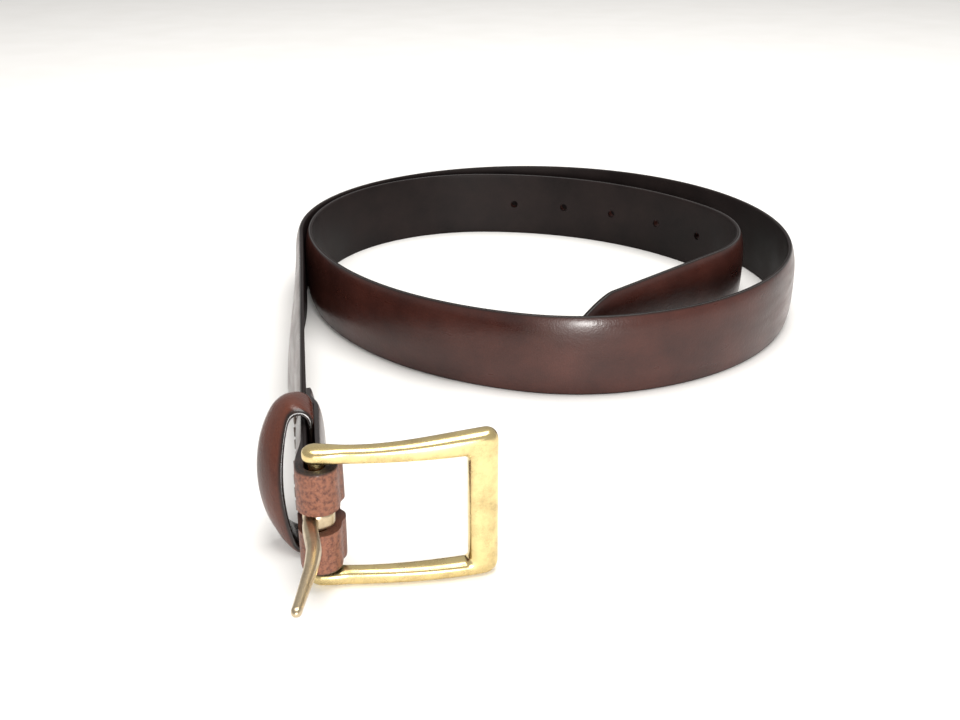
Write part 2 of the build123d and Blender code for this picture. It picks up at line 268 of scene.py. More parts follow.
def face_outwards(piece: bpy.types.Object) -> None:
    """Turns a closed mesh's faces to the outside if their signed volume is negative."""
    mesh = piece.data
    points = np.zeros(len(mesh.vertices) * 3)
    mesh.vertices.foreach_get("co", points)
    points = points.reshape(-1, 3)
    mesh.calc_loop_triangles()
    corners = np.zeros(len(mesh.loop_triangles) * 3, int)
    mesh.loop_triangles.foreach_get("vertices", corners)
    a, b, c = points[corners.reshape(-1, 3)].transpose(1, 0, 2)
    if np.einsum("ij,ij->", a, np.cross(b, c)) < 0:
        mesh.flip_normals()


# ---- finishes ----------------------------------------------------------------------
class Graph:
    """A material's node tree, built from its last node back."""

    def __init__(self, name: str) -> None:
        """Starts an empty material of that name."""
        self.material = bpy.data.materials.new(name)
        self.material.use_nodes = True
        self.tree = self.material.node_tree
        self.tree.nodes.clear()

    def node(self, kind: str, inputs: dict[Any, Any] | None = None, **settings: Any) -> bpy.types.Node:
        """Adds a node.

        Args:
            kind: its type name.
            inputs: a value or another node's socket for each input, by name or number.
            settings: the node's own properties.
        Returns:
            The node.
        """
        made = self.tree.nodes.new(kind)
        for key, value in settings.items():
            setattr(made, key, value)
        for key, value in (inputs or {}).items():
            if isinstance(value, Socket):
                self.tree.links.new(value, made.inputs[key])
            else:
                made.inputs[key].default_value = value
        return made

    def strap_millimetres(self) -> Socket:
        """Millimetres along and across the leather, from its own UV."""
        uv = self.node("ShaderNodeUVMap", uv_map="strap").outputs[0]
        return self.stretched(uv, (100.0, 100.0, 100.0))

    def object_millimetres(self) -> Socket:
        """Millimetres in the object's own frame."""
        place = self.node("ShaderNodeTexCoord").outputs["Object"]
        return self.stretched(place, (1000.0, 1000.0, 1000.0))

    def stretched(self, place: Socket, by: Triple) -> Socket:
        """Coordinates multiplied along each axis."""
        return self.node("ShaderNodeVectorMath", {0: place, 1: by}, operation="MULTIPLY").outputs[0]

    def noise(self, place: Socket, scale: float, detail: float = 3.0, rough: float = 0.5) -> Socket:
        """Fractal noise, with scale in cells per millimetre."""
        inputs = {"Vector": place, "Scale": scale, "Detail": detail, "Roughness": rough}
        return self.node("ShaderNodeTexNoise", inputs).outputs[0]

    def pebbles(self, place: Socket, scale: float) -> Socket:
        """Distance from the middle of each soft cell."""
        inputs = {"Vector": place, "Scale": scale, "Smoothness": 0.6}
        return self.node("ShaderNodeTexVoronoi", inputs, feature="SMOOTH_F1").outputs["Distance"]

    def tag(self, name: str) -> Socket:
        """A number carried by the piece's vertices."""
        return self.node("ShaderNodeAttribute", attribute_name=name).outputs["Fac"]

    def span(self, value: Socket, low: float, high: float, to: tuple[float, float]) -> Socket:
        """A value carried from low..high to another range, held at its ends."""
        inputs = {0: value, 1: low, 2: high, 3: to[0], 4: to[1]}
        return self.node("ShaderNodeMapRange", inputs).outputs[0]

    def maths(self, what: str, a: Any, b: Any) -> Socket:
        """One sum on two numbers."""
        return self.node("ShaderNodeMath", {0: a, 1: b}, operation=what).outputs[0]

    def ramp(self, value: Socket, stops: Stops) -> Socket:
        """A colour for each value."""
        made = self.node("ShaderNodeValToRGB", {0: value})
        elements = made.color_ramp.elements
        elements[0].position, elements[0].color = stops[0][0], (*stops[0][1], 1.0)
        elements[-1].position, elements[-1].color = stops[-1][0], (*stops[-1][1], 1.0)
        for position, colour in stops[1:-1]:
            elements.new(position).color = (*colour, 1.0)
        return made.outputs[0]

    def mix(self, share: Any, a: Any, b: Any) -> Socket:
        """Colour a turning to colour b as share goes to 1."""
        made = self.node("ShaderNodeMix", {0: share}, data_type="RGBA")
        for index, value in ((6, a), (7, b)):
            if isinstance(value, Socket):
                self.tree.links.new(value, made.inputs[index])
            else:
                made.inputs[index].default_value = (*value, 1.0)
        return made.outputs[2]

    def bump(self, height: Socket, depth: float, below: Socket | None = None) -> Socket:
        """A bumped normal, with depth in millimetres for a height of 1."""
        inputs = {"Height": height, "Strength": 1.0, "Distance": depth * MM}
        if below is not None:
            inputs["Normal"] = below
        return self.node("ShaderNodeBump", inputs).outputs[0]

    def surface(self, **inputs: Any) -> bpy.types.Material:
        """Ends the tree in one principled surface; an underscore in a name stands for a space."""
        named = {key.replace("_", " "): value for key, value in inputs.items()}
        shader = self.node("ShaderNodeBsdfPrincipled", named)
        self.node("ShaderNodeOutputMaterial", {0: shader.outputs[0]})
        return self.material


@dataclass(frozen=True)
class GrainLeather:
    """Waxed dress leather: fine pores, slow changes of tone, dyed edges, and cracks where it folds, painted
    lighter there partly as worn grain and partly as a painted highlight.
    """

    name: str = "grain leather"
    dark: Triple = (0.026, 0.0078, 0.0060)
    light: Triple = (0.064, 0.0190, 0.0135)
    # lighter fold colour: partly worn grain, partly a painted highlight where the fold faces the light
    rubbed_and_lit: Triple = (0.230, 0.088, 0.050)
    edge: Triple = (0.0085, 0.0060, 0.0055)
    roughness: float = 0.31

    def build(self) -> bpy.types.Material:
        """The material."""
        graph = Graph(self.name)
        place = graph.strap_millimetres()
        clouds = graph.noise(place, 0.045, 4.0, 0.55)
        body = graph.ramp(clouds, ((0.30, self.dark), (0.72, self.light)))
        fine = graph.noise(place, 1.1, 3.0, 0.6)
        body = graph.mix(graph.span(fine, 0.35, 0.75, (0.0, 0.30)), body, self.dark)
        cracks = graph.noise(graph.stretched(place, (2.4, 0.75, 1.0)), 1.0, 5.0, 0.7)
        # the fold is painted lighter and cracked: partly worn grain, partly a painted highlight
        worn = graph.ramp(cracks, ((0.34, self.light), (0.56, self.rubbed_and_lit), (0.75, self.rubbed_and_lit)))
        fold = graph.tag("fold")
        body = graph.mix(fold, body, worn)
        patchy = graph.span(graph.noise(place, 0.5), 0.2, 0.6, (0.75, 1.0))
        # dyed edges go near black; on the keeper the same tag also paints shade on the band's inner face
        edge = graph.maths("MULTIPLY", graph.tag("edge"), patchy)
        body = graph.mix(edge, body, self.edge)
        pores = graph.bump(graph.pebbles(place, 1.7), 0.030)
        veins = graph.bump(graph.noise(place, 0.55, 4.0, 0.6), 0.055, pores)
        creases = graph.bump(graph.maths("MULTIPLY", cracks, fold), 0.55, veins)
        smear = graph.noise(graph.stretched(place, (0.05, 0.22, 1.0)), 1.0, 3.0)
        rough = graph.span(smear, 0.3, 0.7, (self.roughness - 0.05, self.roughness + 0.09))
        rough = graph.maths("ADD", rough, graph.maths("MULTIPLY", fold, 0.17))
        return graph.surface(
            Base_Color=body, Roughness=rough, Normal=creases, IOR=1.48,
            Specular_IOR_Level=0.34,
            Coat_Weight=0.16, Coat_Roughness=0.20,
        )


@dataclass(frozen=True)
class LiningLeather:
    """Smooth split leather, near black, with a short nap."""

    name: str = "lining leather"
    dark: Triple = (0.0070, 0.0048, 0.0048)
    light: Triple = (0.0165, 0.0108, 0.0100)

    def build(self) -> bpy.types.Material:
        """The material."""
        graph = Graph(self.name)
        place = graph.strap_millimetres()
        clouds = graph.noise(place, 0.05, 4.0, 0.6)
        nap = graph.noise(graph.stretched(place, (0.9, 2.2, 1.0)), 1.0, 3.0, 0.6)
        body = graph.ramp(clouds, ((0.32, self.dark), (0.70, self.light)))
        body = graph.mix(graph.span(nap, 0.40, 0.75, (0.0, 0.35)), body, self.light)
        normal = graph.bump(nap, 0.035)
        rough = graph.span(clouds, 0.3, 0.7, (0.46, 0.60))
        return graph.surface(
            Base_Color=body, Roughness=rough, Normal=normal, IOR=1.45, Specular_IOR_Level=0.16
        )


@dataclass(frozen=True)
class Metal:
    """Cast metal with a satin brush, cloudy tarnish and fine scratches."""

    name: str
    bright: Triple
    tarnished: Triple
    roughness: float = 0.23

    def build(self) -> bpy.types.Material:
        """The material."""
        graph = Graph(self.name)
        place = graph.object_millimetres()
        clouds = graph.noise(place, 0.16, 5.0, 0.62)
        flecks = graph.noise(place, 1.6, 3.0, 0.6)
        cloudy = graph.span(clouds, 0.40, 0.74, (0.0, 1.0))
        worn = graph.maths("MULTIPLY", cloudy, graph.span(flecks, 0.3, 0.7, (0.45, 0.9)))
        body = graph.mix(worn, self.bright, self.tarnished)
        brushed = graph.noise(graph.stretched(place, (0.5, 0.5, 4.5)), 1.0, 3.0, 0.6)
        normal = graph.bump(brushed, 0.012)
        normal = graph.bump(graph.noise(place, 0.35, 2.0), 0.045, normal)
        rough = graph.span(worn, 0.0, 1.0, (self.roughness, self.roughness + 0.16))
        return graph.surface(Base_Color=body, Metallic=1.0, Roughness=rough, Normal=normal)


@dataclass(frozen=True)
class WaxedThread:
    """Twisted thread, a little paler than the leather."""

    name: str = "waxed thread"
    dark: Triple = (0.080, 0.055, 0.042)
    light: Triple = (0.200, 0.150, 0.120)

    def build(self) -> bpy.types.Material:
        """The material."""
        graph = Graph(self.name)
        place = graph.object_millimetres()
        twist = graph.noise(graph.stretched(place, (2.0, 2.0, 5.0)), 1.0, 2.0)
        body = graph.ramp(twist, ((0.38, self.dark), (0.62, self.light)))
        return graph.surface(Base_Color=body, Roughness=0.34, Normal=graph.bump(twist, 0.05))


@dataclass(frozen=True)
class Paper:
    """The pale matt floor."""

    name: str = "pale floor"

    def build(self) -> bpy.types.Material:
        """The material."""
        graph = Graph(self.name)
        tooth = graph.noise(graph.object_millimetres(), 0.02, 3.0)
        body = graph.ramp(tooth, ((0.3, (0.86, 0.85, 0.83)), (0.7, (0.89, 0.88, 0.865))))
        return graph.surface(Base_Color=body, Roughness=0.75)


# ---- the strap -----------------------------------------------------------------------
@dataclass(frozen=True)
class StrapRoute:
    """Where the strap runs: distance 0 is beside the bar, below 0 is the fold and the turned-back end."""

    bar: tuple[float, float]
    stretches: tuple[tuple[str, tuple[Bend, ...]], ...] = (
        ("outer_left", (Bend(91.1, 56.7),)),
        ("outer_back", (Bend(105.5, 70.5),)),
        ("right_side", (Bend(105.5, 70.5),)),
        ("front_right", (Bend(100.4, 66.0),)),
        ("front_left", (Bend(76.4, 30.4), Bend(120.7, 30.3))),
        ("left_side", (Bend(120.7, 30.3), Bend(87.14, 35.4))),
        ("inner_turn", (Bend(73.5, 68.7),)),
        ("punched", (Bend(118.6, 59.3), Bend(49.5, 12.0))),
        ("curl", (Bend(49.5, 64.4),)),
        ("tip", (Bend(0.0, straight=92.9),)),
    )
    lead_lean: float = 5.0
    flap_rise: float = 1.7

    @property
    def fold_length(self) -> float:
        """The inner face's half turn round the bar."""
        return BAR_WRAP_RADIUS * np.pi

    def course(self) -> Course:
        """The inner face in plan, from the turned-back end to the tip."""
        along, left = headings(np.array(LEAD_HEADING))
        start = np.array(self.bar) + along * FLAP_LENGTH - left * BAR_WRAP_RADIUS
        flap, lead = Bend(0.0, straight=FLAP_LENGTH), Bend(0.0, straight=LEAD_LENGTH)
        bends = [flap, Bend(BAR_WRAP_RADIUS, 180.0), lead]
        bends += [bend for _, parts in self.stretches for bend in parts]
        return Course(start, LEAD_HEADING + 180.0, bends, first=-FLAP_LENGTH - self.fold_length)

    def starts(self) -> dict[str, float]:
        """The distance at which each stretch begins, and the strap's end as "end"."""
        found = {"lead": 0.0}
        distance = LEAD_LENGTH
        for name, parts in self.stretches:
            found[name] = distance
            distance += sum(bend.length for bend in parts)
        found["end"] = distance
        return found

    def lift(self, distance: Array) -> Array:
        """Height of the lower edge: held up beside the buckle, then easing down to the table."""
        return BUCKLE_LIFT * (1.0 - smoothstep(distance, LEVEL_LENGTH * 0.6, LEAD_LENGTH))

    def lean(self, distance: Array) -> Array:
        """How far the lower edge stands out from the upper one, midway along the lead."""
        middle = smoothstep(distance, 40.0, 110.0) * (1.0 - smoothstep(distance, 120.0, 205.0))
        return self.lead_lean * middle

    def flap_shift(self, distance: Array) -> Array:
        """How far the turned-back end stands out: a loop by the bar, then closed on keeper and strap."""
        back = -self.fold_length - distance
        loop = np.exp(-(((back - 5.0) / 4.0) ** 2)) * smoothstep(back, 0.0, 3.0)
        closed = smoothstep(back, 5.0, 12.0) * 2.1 + smoothstep(back, 35.0, 42.0) * 1.95
        return self.flap_rise * loop - closed


@dataclass(frozen=True)
class Section:
    """Thickness across the strap: a base and a crown that falls off as (1 - |t|^flat)^round."""

    inner: float
    inner_round: float
    base: float
    crown: float
    flat: float = 3.0
    round: float = 0.8

    def offsets(self, t: Array) -> tuple[Array, Array]:
        """Outer and inner surface's distances from the strap's inner face, for t from -1 to 1 across."""
        fall = np.clip(1.0 - np.abs(t) ** self.flat, 0.0, 1.0) ** self.round
        soft = np.clip(1.0 - np.abs(t) ** 24, 0.0, 1.0) ** 0.5
        return self.base + self.crown * fall, self.inner + self.inner_round * (1.0 - soft)


SECTIONS = {
    Layer.GRAIN: Section(inner=1.08, inner_round=0.05, base=1.55, crown=2.15),
    Layer.LINING: Section(inner=0.0, inner_round=0.45, base=1.02, crown=0.05, flat=20.0, round=0.5),
}


@dataclass(frozen=True)
class Opening:
    """A hole through both faces: a slot keeps its grid, and a round hole draws it in to a circle."""

    distance: float
    half_length: float
    half_height: float
    round: bool = True

    def rows(self, steps: int = 6) -> Array:
        """Heights over mid width of the grid lines that cross it."""
        return np.linspace(-self.half_height, self.half_height, steps + 1)

    def stations(self, steps: int = 6) -> Array:
        """Distances of the grid lines that cross it."""
        return self.distance + np.linspace(-self.half_length, self.half_length, steps + 1)

    def warp(self, along: Array, up: Array) -> tuple[Array, Array]:
        """Draws squares round the hole in to circles.

        Each point is scaled by its larger coordinate over its true distance, fading at 3.5 radii.

        Args:
            along: distances along the strap.
            up: heights over mid width.
        Returns:
            Both, moved.
        """
        if not self.round:
            return along, up
        dx = along - self.distance
        box = np.maximum(np.abs(dx), np.abs(up))
        true = np.maximum(np.hypot(dx, up), 1e-6)
        share = 1.0 - smoothstep(box, self.half_length, 3.5 * self.half_length)
        scale = (1.0 - share) + share * box / true
        return self.distance + dx * scale, up * scale


@dataclass
class StrapSkin:
    """One layer of one length of strap, as a closed skin swept along the route."""

    route: StrapRoute
    layer: Layer
    first: float
    last: float
    openings: tuple[Opening, ...] = ()
    step: float = 0.9
    tapered: bool = False

    def stations(self) -> Array:
        """Distances of the rings: even steps, fine round the bar, at the openings and at the tip."""
        count = max(2, int(round((self.last - self.first) / self.step)) + 1)
        even = np.linspace(self.first, self.last, count)
        if self.first < 0.0:
            near = np.linspace(-self.route.fold_length - SLOT_REACH, SLOT_REACH, 97)
            even = put_in(even, near, 0.3)
        for opening in self.openings:
            if opening.round:
                even = put_in(even, ringed(opening.stations()), GRID_ROOM)
        if self.tapered:
            bow = self.last - 12.0 * (1.0 - np.sin(np.linspace(0.0, np.pi / 2, 40))) - 0.004
            even = np.concatenate([even[even < bow[0] - 0.3], bow])
        return even

    def rows(self) -> Array:
        """Heights over mid width of the grid lines, closest together at the rounded edges."""
        half = STRAP_WIDTH / 2
        even = half * np.sin(np.linspace(-np.pi / 2, np.pi / 2, 31))
        if self.openings:
            cuts = self.openings[0].rows()
            cuts = ringed(cuts) if self.openings[0].round else cuts
            even = put_in(even, cuts, GRID_ROOM)
        return even

    def half_width(self, distance: Array) -> Array:
        """Half the strap's width: full, then falling as (1 - x^1.45)^0.8 over a tapered tip."""
        full = np.full_like(distance, STRAP_WIDTH / 2)
        if not self.tapered:
            return full
        x = np.clip((distance - (self.last - TIP_TAPER)) / TIP_TAPER, 0.0, 1.0)
        return full * (1.0 - x**1.45) ** 0.8

    def thickness(self, distance: Array, t: Array) -> tuple[Array, Array]:
        """Outer and inner offsets: thinner on the unlined turned-back end, drawn in at a tapered tip."""
        outer, inner = SECTIONS[self.layer].offsets(t)
        outer = np.broadcast_to(outer, distance.shape)
        inner = np.broadcast_to(inner, distance.shape)
        if self.layer is Layer.GRAIN:
            even = SECTIONS[Layer.LINING].offsets(t)[1]
            near_bar = smoothstep(distance, -self.route.fold_length - 12.0, -self.route.fold_length - 2.0)
            near_bar = near_bar * (1.0 - smoothstep(distance, 2.0, 16.0))
            outer = outer + near_bar * (3.55 - 1.1 * even - outer)
            lined = smoothstep(distance, -self.route.fold_length - 2.0, -2.0)
            skived = 1.0 - smoothstep(distance, -self.route.fold_length - 10.0, -self.route.fold_length)
            inner = inner * lined + 0.03
            outer = outer * (1.0 - 0.26 * skived)
        if self.tapered:
            thin = 1.0 - 0.35 * smoothstep(distance, self.last - 14.0, self.last)
            outer = inner + (outer - inner) * thin
        return outer, inner

    def points(self, stations: Array) -> tuple[Array, Array, Array]:
        """The skin's points.

        Args:
            stations: distances of the rings.
        Returns:
            Rings by points round each by 3, outer face first and then the inner face back; the
            distances; and t, from -1 to 1.
        """
        rows = self.rows()
        along, up = np.meshgrid(stations, rows, indexing="ij")
        for opening in self.openings:
            along, up = opening.warp(along, up)
        t = np.clip(up / (STRAP_WIDTH / 2), -1.0, 1.0)
        place, turned = self.route.course().at(along)
        _, left = headings(turned)
        outer, inner = self.thickness(along, t)
        shift = self.route.lean(along) * (1.0 - t) / 2 + self.route.flap_shift(along)
        height = self.route.lift(along) + STRAP_WIDTH / 2 + t * self.half_width(along)
        faces = [
            np.concatenate([place + left * (shift + offset)[..., None], height[..., None]], axis=-1)
            for offset in (outer, inner)
        ]
        loop = np.concatenate([faces[0], faces[1][:, ::-1]], axis=1)
        along, t = (np.concatenate([values, values[:, ::-1]], axis=1) for values in (along, t))
        return loop, along, t

    def walls(self, stations: Array) -> tuple[Array, Array]:
        """Which cells of the grid an opening takes away, and the quads that line it.

        Args:
            stations: distances of the rings.
        Returns:
            A mask of rings by points round each, and quads from the outer face to the inner.
        """
        rows = self.rows()
        count = len(rows)
        around = 2 * count
        gone = np.zeros((len(stations) - 1, around), bool)
        lined = [np.zeros((0, 4), int)]
        for opening in self.openings:
            inside = np.flatnonzero(np.abs(stations - opening.distance) < opening.half_length + 1e-4)
            across = np.flatnonzero(np.abs(rows) < opening.half_height + 1e-4)
            i0, i1, j0, j1 = inside[0], inside[-1], across[0], across[-1]
            gone[i0:i1, j0:j1] = True
            gone[i0:i1, around - 1 - j1 : around - 1 - j0] = True
            high, wide = j1 - j0, i1 - i0
            ahead, up = np.arange(i0, i1), np.arange(j0, j1)
            i = np.concatenate([ahead, np.full(high, i1), ahead[::-1] + 1, np.full(high, i0)])
            j = np.concatenate([np.full(wide, j0), up, np.full(wide, j1), up[::-1] + 1])
            i2, j2 = np.roll(i, -1), np.roll(j, -1)
            outer, outer2 = i * around + j, i2 * around + j2
            inner, inner2 = i * around + around - 1 - j, i2 * around + around - 1 - j2
            lined.append(np.stack([outer2, outer, inner, inner2], axis=-1))
        return gone, np.vstack(lined)

    def build(self, name: str) -> bpy.types.Object:
        """Sweeps the skin.

        Each ring's normals are taken across its neighbours, and past each end too, so that lengths
        that meet show no seam.

        Args:
            name: the object's name.
        Returns:
            The mesh object, closed, with distance and height as UV and the edge and fold tags.
        """
        stations = self.stations()
        beyond = np.concatenate([[stations[0] - self.step], stations, [stations[-1] + self.step]])
        if self.tapered:
            beyond[-1] = stations[-1] + 0.004
        wide, _, _ = self.points(beyond)
        loop, along, t = self.points(stations)
        sweep = wide[2:] - wide[:-2]
        round_ring = np.roll(loop, -1, axis=1) - np.roll(loop, 1, axis=1)
        normals = np.cross(sweep, round_ring)
        normals /= np.maximum(np.linalg.norm(normals, axis=-1, keepdims=True), 1e-9)
        middle = loop.mean(axis=1, keepdims=True)
        if np.einsum("ijk,ijk->", normals, loop - middle) < 0:
            normals = -normals
        gone, lined = self.walls(stations)
        drawn_in = loop[[0, -1]] - 0.02 * (loop[[0, -1]] - middle[[0, -1]]) / STRAP_WIDTH
        ahead = np.cross(normals[[0, -1]], round_ring[[0, -1]])
        ahead /= np.maximum(np.linalg.norm(ahead, axis=-1, keepdims=True), 1e-9)
        loop = np.concatenate([drawn_in[:1], loop, drawn_in[1:]])
        normals = np.concatenate([ahead[:1], normals, -ahead[1:]])
        along, t = (np.concatenate([values[:1], values, values[-1:]]) for values in (along, t))
        gone = np.concatenate([np.zeros_like(gone[:1]), gone, np.zeros_like(gone[:1])])
        rings, around = loop.shape[:2]
        count = around // 2
        lined = lined + around
        quads = grid_quads(rings, around, False, True)[~gone.ravel()][:, ::-1]
        j = np.arange(count - 1)
        cap = np.stack([j, j + 1, around - 2 - j, around - 1 - j], axis=-1)
        extra = np.vstack([lined, cap, cap[:, ::-1] + (rings - 1) * around])
        across = np.where(np.arange(around) < count, (t + 1.0) / 2, 2.2 - (t + 1.0) / 2) * STRAP_WIDTH
        uv = np.stack([along, across], axis=-1) * 0.01
        # where the fold tag rises the leather is painted lighter and cracked, partly as worn grain and partly
        # as a painted highlight; creases and extra roughness follow it too
        fold = smoothstep(along, -self.route.fold_length - 7.0, -self.route.fold_length)
        fold = fold * (1.0 - smoothstep(along, 0.0, 6.0))
        edge = smoothstep(np.abs(t), 0.955, 0.995)
        ends = np.abs(along - self.first) < 1.2 if self.first < 0.0 else np.zeros_like(t, bool)
        tags = {"edge": np.maximum(edge, ends).ravel(), "fold": fold.ravel()}
        shell = Shell(
            loop.reshape(-1, 3),
            np.vstack([quads, extra]),
            normals.reshape(-1, 3),
            uv.reshape(-1, 2),
            tags,
            len(quads),
        )
        return shell.mesh(name)


@dataclass
class Strap:
    """The whole strap: one length that rides the lead, then one across each place where it flexes."""

    route: StrapRoute
    finishes: dict[Layer, bpy.types.Material]
    hole_count: int = 5
    hole_pitch: float = 25.4
    hole_radius: float = 1.8
    last_hole_from_curl: float = 5.7
    inset: float = 6.0

    def holes(self) -> tuple[Opening, ...]:
        """The punched holes, counted back from the curl."""
        curl = self.route.starts()["curl"] - self.route.stretches[7][1][1].length
        places = curl - self.last_hole_from_curl - np.arange(self.hole_count) * self.hole_pitch
        return tuple(Opening(float(place), self.hole_radius, self.hole_radius) for place in places)

    def clear_of_holes(self, distance: float) -> float:
        """A place where two lengths meet, moved back half a pitch if a hole is close to it."""
        nearest = min(abs(hole.distance - distance) for hole in self.holes())
        return distance - self.hole_pitch / 2 if nearest < 4.5 * self.hole_radius else distance

    def on_inner_face(self, distance: float) -> Vector:
        """A point on the route, in metres."""
        place, _ = self.route.course().at(np.array(distance))
        return Vector((place[0] * MM, place[1] * MM, STRAP_WIDTH / 2 * MM))

    def dress(self, piece: bpy.types.Object, layer: Layer, replaced: Sequence[str]) -> None:
        """Gives a length its finish and the nodes that it stands for."""
        piece.data.materials.append(self.finishes[layer])
        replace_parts(piece, *replaced)

    def build_lead(self, meet: float) -> None:
        """The turned-back end, the fold and the lead up to the first length that flexes."""
        half = self.route.fold_length / 2
        slot = Opening(-half, half + SLOT_REACH, SLOT_HALF_HEIGHT, False)
        grain = StrapSkin(self.route, Layer.GRAIN, -FLAP_LENGTH - self.route.fold_length, meet, (slot,))
        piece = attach(grain.build("strap_lead_grain"), "lead")
        self.dress(piece, Layer.GRAIN, ("lead_grain", "lead_filler", "turned_back_end"))
        lining = StrapSkin(self.route, Layer.LINING, SLOT_REACH + 0.4, meet)
        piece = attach(lining.build("strap_lead_lining"), "lead")
        self.dress(piece, Layer.LINING, ("lead_lining",))

    def build_lengths(self, meet: float) -> None:
        """Every length from the lead to the tip, each reaching across one place where the strap flexes.

        Args:
            meet: the distance at which the first one takes over from the lead.
        """
        starts = self.route.starts()
        names = ["lead", *(name for name, _ in self.route.stretches)]
        bounds = [*(starts[name] for name in names), starts["end"]]
        inner = [self.clear_of_holes((bounds[k] + bounds[k + 1]) / 2) for k in range(1, len(names) - 1)]
        middles = [meet, *inner, starts["end"]]
        holes = self.holes()
        for k in range(1, len(names)):
            first, last = middles[k - 1], middles[k]
            own = tuple(hole for hole in holes if first < hole.distance < last)
            end = last - self.inset if names[k] != "tip" else starts["tip"] + 40.0
            for layer in Layer:
                skin = StrapSkin(self.route, layer, first, last, own, tapered=names[k] == "tip")
                piece = skin.build(f"strap_{names[k]}_{layer.value}")
                replaced = [f"{names[k]}_{layer.value}"]
                if layer is Layer.GRAIN:
                    replaced.append(f"{names[k]}_filler")
                self.dress(piece, layer, replaced)
                self.on_inner_face(first + self.inset)
                self.on_inner_face(end)
                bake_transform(piece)

    def build(self) -> None:
        """Builds every length."""
        meet = LEAD_LENGTH * 0.72
        self.build_lead(meet)
        self.build_lengths(meet)


# ---- keeper and buckle ---------------------------------------------------------------
@dataclass(frozen=True)
class AtBar:
    """Carries points from a frame on the bar, x along its heading, to the row frame."""

    bar: tuple[float, float]
    heading: float

    def out(self, points: Array) -> Array:
        """The points in the row frame, in millimetres."""
        along, left = headings(np.array(self.heading))
        flat = np.array(self.bar) + points[..., :1] * along + points[..., 1:2] * left
        return np.concatenate([flat, points[..., 2:]], axis=-1)


@dataclass
class Keeper:
    """The leather loop: a domed band round an upright oval, its far side swung towards the buckle."""

    spot: AtBar
    leather: bpy.types.Material
    from_bar: float = 11.5
    width: float = 12.4
    thickness: float = 2.0
    dome: float = 1.7
    swing: float = 33.0
    swing_from: float = 2.0
    swing_to: float = 13.0
    lean: float = 12.0
    height: float = 38.8

    def loop(self) -> tuple[Array, Array, float]:
        """The band's middle line: flat on the strap, tight at its corners, easing out to the far side.

        Returns:
            Places in the upright plane, headings there, and the line's length.
        """
        half = (Bend(3.0, 90.0), Bend(5.47, 60.0), Bend(30.93, 30.0))
        bends = [Bend(0.0, straight=15.2), *half, *reversed(half), Bend(0.0, straight=15.2)]
        course = Course((BAR_WRAP_RADIUS - self.thickness / 2, MID_BUCKLE), 90.0, bends)
        length = course.knots[-1]
        places, turned = course.at(np.linspace(0.0, length, 241)[:-1])
        return places, turned, length

    def build(self) -> None:
        """Sweeps the band.

        The section is a superellipse, flat inside and domed outside. Each part is turned about the
        upright by an angle that grows with its distance from the strap.
        """
        places, turned, length = self.loop()
        _, left = headings(turned)
        away = smoothstep(places[:, 0], 2.0, 7.0)
        phi = np.linspace(0.0, 2 * np.pi, 49)[:-1]
        across = signed_power(np.cos(phi), 0.42)
        up = signed_power(np.sin(phi), 0.55)
        domed = self.dome * away[:, None] * (1 - across**2) ** 0.8
        thick = self.thickness / 2 + np.where(up > 0, domed, 0.0)
        reach = up * thick
        plane = places[:, None, :] + left[:, None, :] * reach[..., None]
        width = across[None, :] * self.width / 2 * np.ones_like(reach)
        out = plane[..., 0] - BAR_WRAP_RADIUS
        angle = np.radians(self.swing) * smoothstep(out, self.swing_from, self.swing_to)
        steps = np.linspace(0.0, 20.0, 201)
        turns = np.radians(self.swing) * smoothstep(steps, self.swing_from, self.swing_to)
        drift_x = np.concatenate([[0.0], np.cumsum(np.sin(turns[:-1]) * np.diff(steps))])
        drift_y = np.concatenate([[0.0], np.cumsum(np.cos(turns[:-1]) * np.diff(steps))])
        leaned = self.lean * ((plane[..., 1] - MID_BUCKLE) / self.height + 0.5)
        x = self.from_bar + self.width / 2 + leaned - np.interp(out, steps, drift_x) + width * np.cos(angle)
        y = BAR_WRAP_RADIUS + np.where(out > 0, np.interp(out, steps, drift_y), out) + width * np.sin(angle)
        rings = self.spot.out(np.stack([x, y, plane[..., 1]], axis=-1))
        shell = tube(rings, closed=True)
        distance = np.linspace(0.0, length, len(places) + 1)[:-1, None] * np.ones_like(reach)
        girth = np.where(up > 0, across, 2.4 - across) * self.width / 2 * np.ones_like(reach)
        shell.uv = np.stack([distance, girth], axis=-1).reshape(-1, 2) * 0.01 + 3.0
        edge = smoothstep(np.abs(across), 0.80, 0.97) * (np.abs(up) < 0.97) * np.ones_like(reach)
        # the band's inner face takes the near-black edge tone: partly dark dye, partly painted shade under
        # the strap
        inside = np.where(up < -0.5, 1.0, 0.0) * np.ones_like(reach)
        # the far side takes a tenth of the lighter fold colour, which is partly a painted highlight
        worn = 0.10 * away[:, None].repeat(len(phi), 1)
        shell.tags = {"edge": np.maximum(edge, inside).ravel(), "fold": worn.ravel()}
        piece = shell.mesh("keeper_band")
        face_outwards(piece)
        piece.data.materials.append(self.leather)
        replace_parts(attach(piece, "lead"), "keeper")


